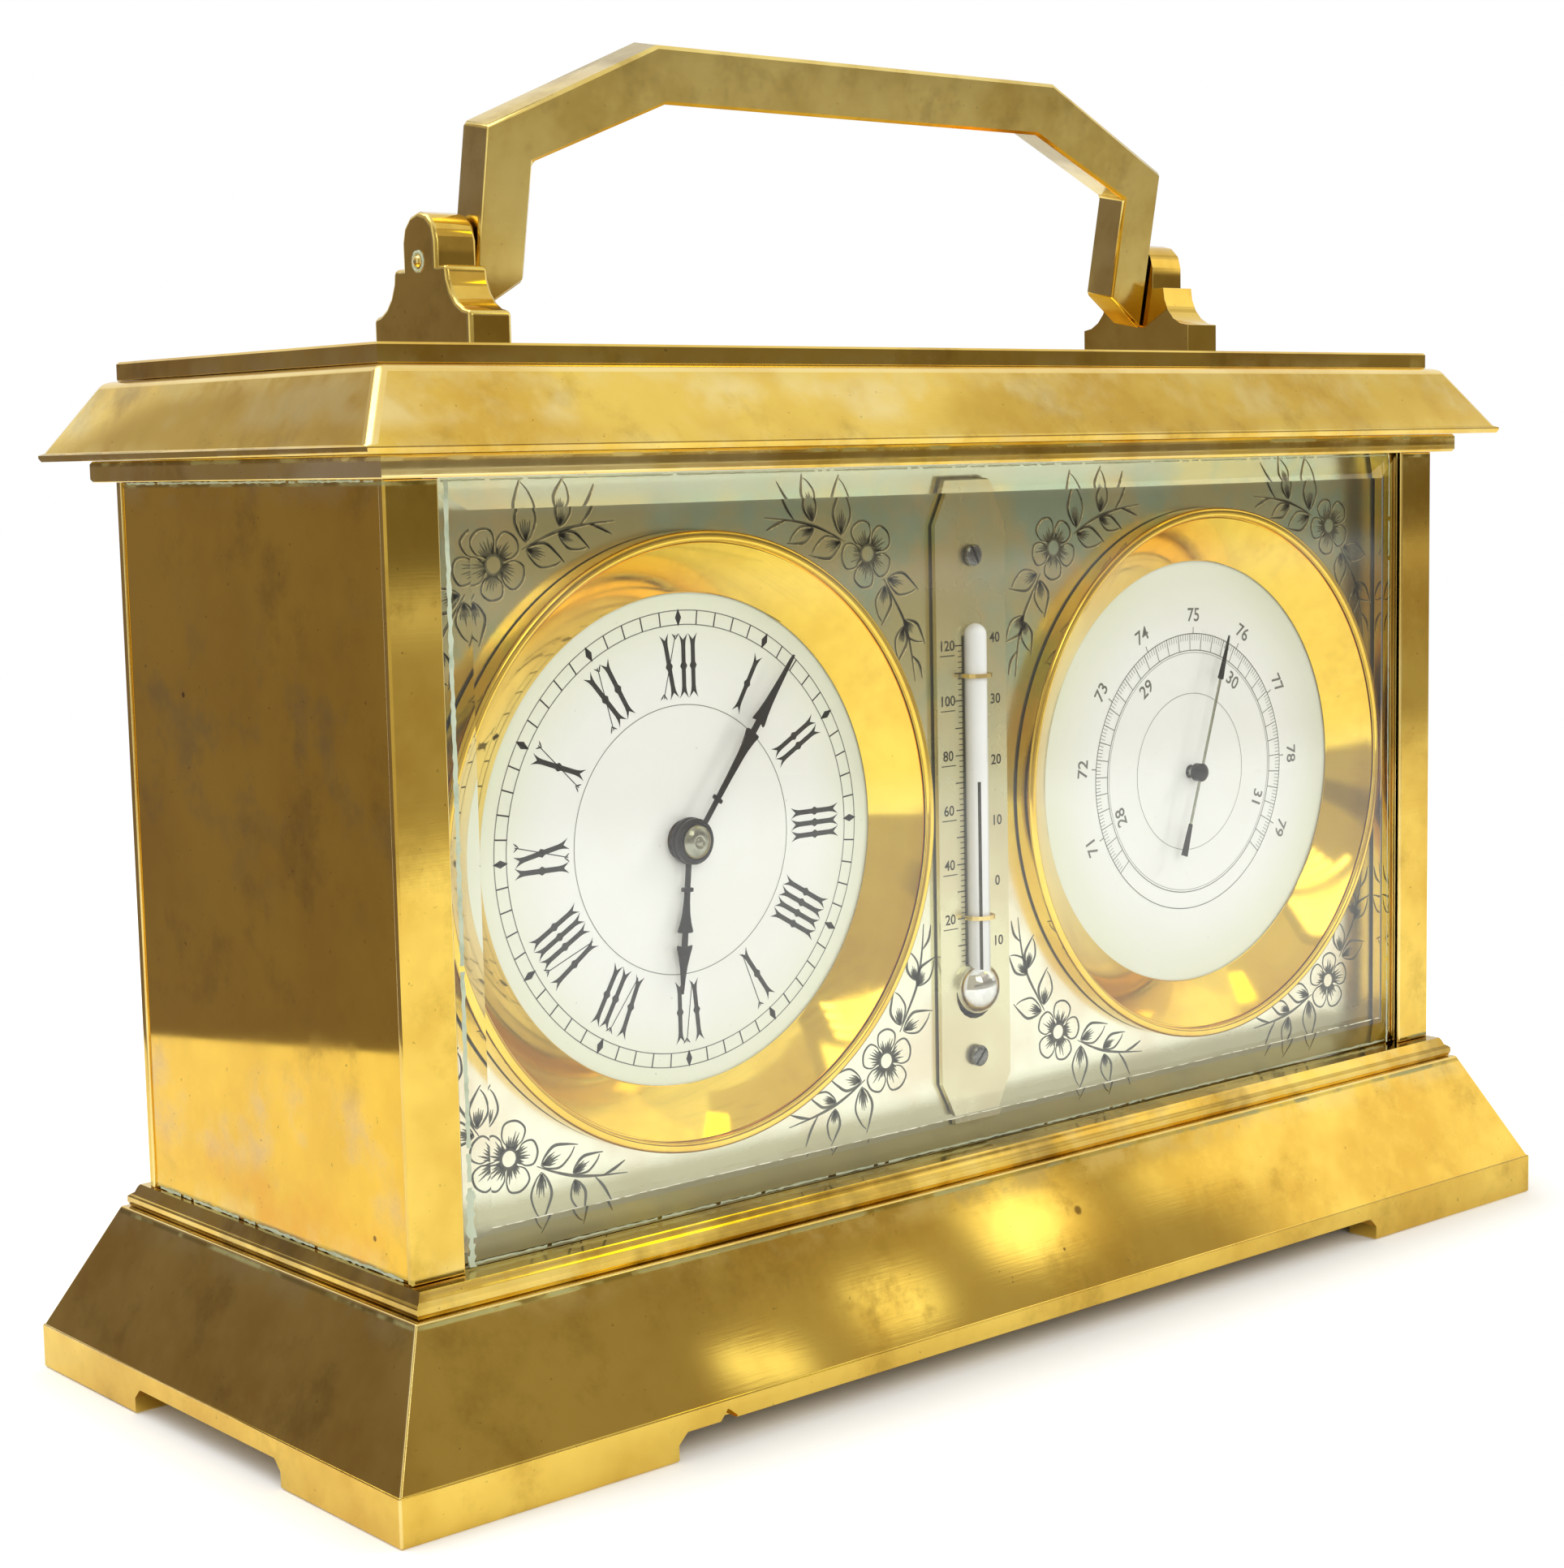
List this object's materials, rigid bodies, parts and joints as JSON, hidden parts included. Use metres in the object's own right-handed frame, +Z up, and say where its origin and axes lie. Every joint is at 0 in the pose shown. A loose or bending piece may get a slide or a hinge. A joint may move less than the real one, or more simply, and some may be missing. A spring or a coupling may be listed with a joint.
{
  "type": "desk compendium clock",
  "caption": "Brass desk compendium with clock, thermometer and aneroid barometer behind one bevelled glass, with a folding carrying handle and a back door.",
  "frame": {"origin": "on the ground, under the middle of the case", "axes": "+X to the barometer's side as seen from the front, +Y from the front to the back door, +Z up"},
  "size_m": [0.19, 0.078, 0.1546],
  "materials": {
    "case_brass": "polished and lacquered, softly worn, with brown and green tarnish",
    "movement_brass": "grained and polished",
    "gilt": "turned, bright gilt",
    "silvered": "silvered and engraved, satin",
    "enamel": "white enamel, glossy",
    "steel": "polished",
    "blued_steel": "blued",
    "glass": "clear, bevelled"
  },
  "bodies": {
    "case": {"base_moulding": "case_brass", "base_plate": "case_brass", "frieze_plate": "case_brass", "cornice": "case_brass", "top_plate": "case_brass", "front_pillar_left": "case_brass", "front_pillar_right": "case_brass", "rear_pillar_left": "case_brass", "rear_pillar_right": "case_brass", "side_panel_left": "case_brass", "side_panel_right": "case_brass", "handle_lug_left": "case_brass", "handle_lug_right": "case_brass", "handle_pin_left": "case_brass", "handle_pin_right": "case_brass", "thermometer_clip_lower": "case_brass", "thermometer_clip_upper": "case_brass", "clock_front_plate": "movement_brass", "clock_back_plate": "movement_brass", "escapement_platform": "movement_brass", "balance_cock": "movement_brass", "escape_cock": "movement_brass", "aneroid_plate": "movement_brass", "aneroid_bridge": "movement_brass", "clock_bezel": "gilt", "barometer_bezel": "gilt", "dial_plate": "silvered", "thermometer_plate": "silvered", "aneroid_capsule": "silvered", "clock_dial": "enamel", "barometer_dial": "enamel", "thermometer_screw_lower": "steel", "thermometer_screw_upper": "steel", "aneroid_spring": "blued_steel", "front_glass": "glass", "thermometer_tube": "glass"},
    "handle": {"handle": "case_brass"},
    "door": {"rear_door": "case_brass", "door_knob": "case_brass"},
    "centre": {"centre_wheel": "movement_brass", "cannon_pinion": "steel", "minute_hand": "blued_steel", "hand_collet": "steel"},
    "minute_wheel": {"minute_wheel": "movement_brass"},
    "hour": {"hour_wheel": "movement_brass", "hour_hand": "blued_steel"},
    "barrel": {"barrel": "movement_brass"},
    "winding": {"winding_arbor": "steel", "ratchet_wheel": "steel"},
    "click": {"click": "steel"},
    "third": {"third_wheel": "movement_brass"},
    "fourth": {"fourth_wheel": "movement_brass"},
    "escape": {"escape_wheel": "steel"},
    "lever": {"lever": "steel"},
    "balance": {"balance_wheel": "movement_brass", "hairspring": "blued_steel"},
    "barometer": {"barometer_arbor": "steel", "barometer_hand": "blued_steel"},
    "regulator": {"regulator": "steel"}
  },
  "joints": [
    {"name": "handle_swing", "type": "hinge", "parent": "case", "child": "handle", "pos_m": [0, 0, 0.12885], "axis": [1, 0, 0], "range_deg": [-115, 94]},
    {"name": "door_hinge", "type": "hinge", "parent": "case", "child": "door", "pos_m": [0.0776, 0.0272, 0.0637], "axis": [0, 0, -1], "range_deg": [0, 100]},
    {"name": "centre_arbor", "type": "hinge", "parent": "case", "child": "centre", "pos_m": [-0.043, 0, 0.0637], "axis": [0, 1, 0], "continuous": true},
    {"name": "minute_wheel_post", "type": "hinge", "parent": "case", "child": "minute_wheel", "pos_m": [-0.04866, 0, 0.06936], "axis": [0, 1, 0], "continuous": true},
    {"name": "hour_pipe", "type": "hinge", "parent": "case", "child": "hour", "pos_m": [-0.043, 0, 0.0637], "axis": [0, 1, 0], "continuous": true},
    {"name": "barrel_turn", "type": "hinge", "parent": "case", "child": "barrel", "pos_m": [-0.05537, 0, 0.05133], "axis": [0, 1, 0], "continuous": true},
    {"name": "third_arbor", "type": "hinge", "parent": "case", "child": "third", "pos_m": [-0.03679, 0, 0.07446], "axis": [0, 1, 0], "continuous": true},
    {"name": "fourth_arbor", "type": "hinge", "parent": "case", "child": "fourth", "pos_m": [-0.02768, 0, 0.07114], "axis": [0, 1, 0], "continuous": true},
    {"name": "escape_arbor", "type": "hinge", "parent": "case", "child": "escape", "pos_m": [-0.02538, 0, 0.06254], "axis": [0, 1, 0], "continuous": true},
    {"name": "winding_turn", "type": "hinge", "parent": "case", "child": "winding", "pos_m": [-0.05537, 0, 0.05133], "axis": [0, 1, 0], "continuous": true},
    {"name": "click_pivot", "type": "hinge", "parent": "case", "child": "click", "pos_m": [-0.05708, 0, 0.06098], "axis": [0, 1, 0], "range_deg": [-15, 0], "stiffness_Nm_per_rad": 0.002},
    {"name": "lever_pivot", "type": "hinge", "parent": "case", "child": "lever", "pos_m": [-0.02538, 0, 0.05734], "axis": [0, 1, 0], "range_deg": [-5, 5]},
    {"name": "balance_staff", "type": "hinge", "parent": "case", "child": "balance", "pos_m": [-0.02538, 0, 0.05254], "axis": [0, 1, 0], "range_deg": [-135, 135], "stiffness_Nm_per_rad": 0.0000074},
    {"name": "barometer_arbor_turn", "type": "hinge", "parent": "case", "child": "barometer", "pos_m": [0.043, 0, 0.0637], "axis": [0, 1, 0], "range_deg": [-120, 120], "stiffness_Nm_per_rad": 0.00005},
    {"name": "regulator_rock", "type": "hinge", "parent": "case", "child": "regulator", "pos_m": [0.043, -0.0081, 0.0777], "axis": [1, 0, 0], "range_deg": [-12, 12]}
  ],
  "couplings": [
    {"joint": "minute_wheel_post", "follows": "centre_arbor", "ratio": -0.33333},
    {"joint": "hour_pipe", "follows": "centre_arbor", "ratio": 0.083333},
    {"joint": "barrel_turn", "follows": "centre_arbor", "ratio": -0.16667},
    {"joint": "third_arbor", "follows": "centre_arbor", "ratio": -8},
    {"joint": "fourth_arbor", "follows": "centre_arbor", "ratio": 60},
    {"joint": "escape_arbor", "follows": "centre_arbor", "ratio": -480},
    {"joint": "regulator_rock", "follows": "barometer_arbor_turn", "ratio": 0.096}
  ]
}
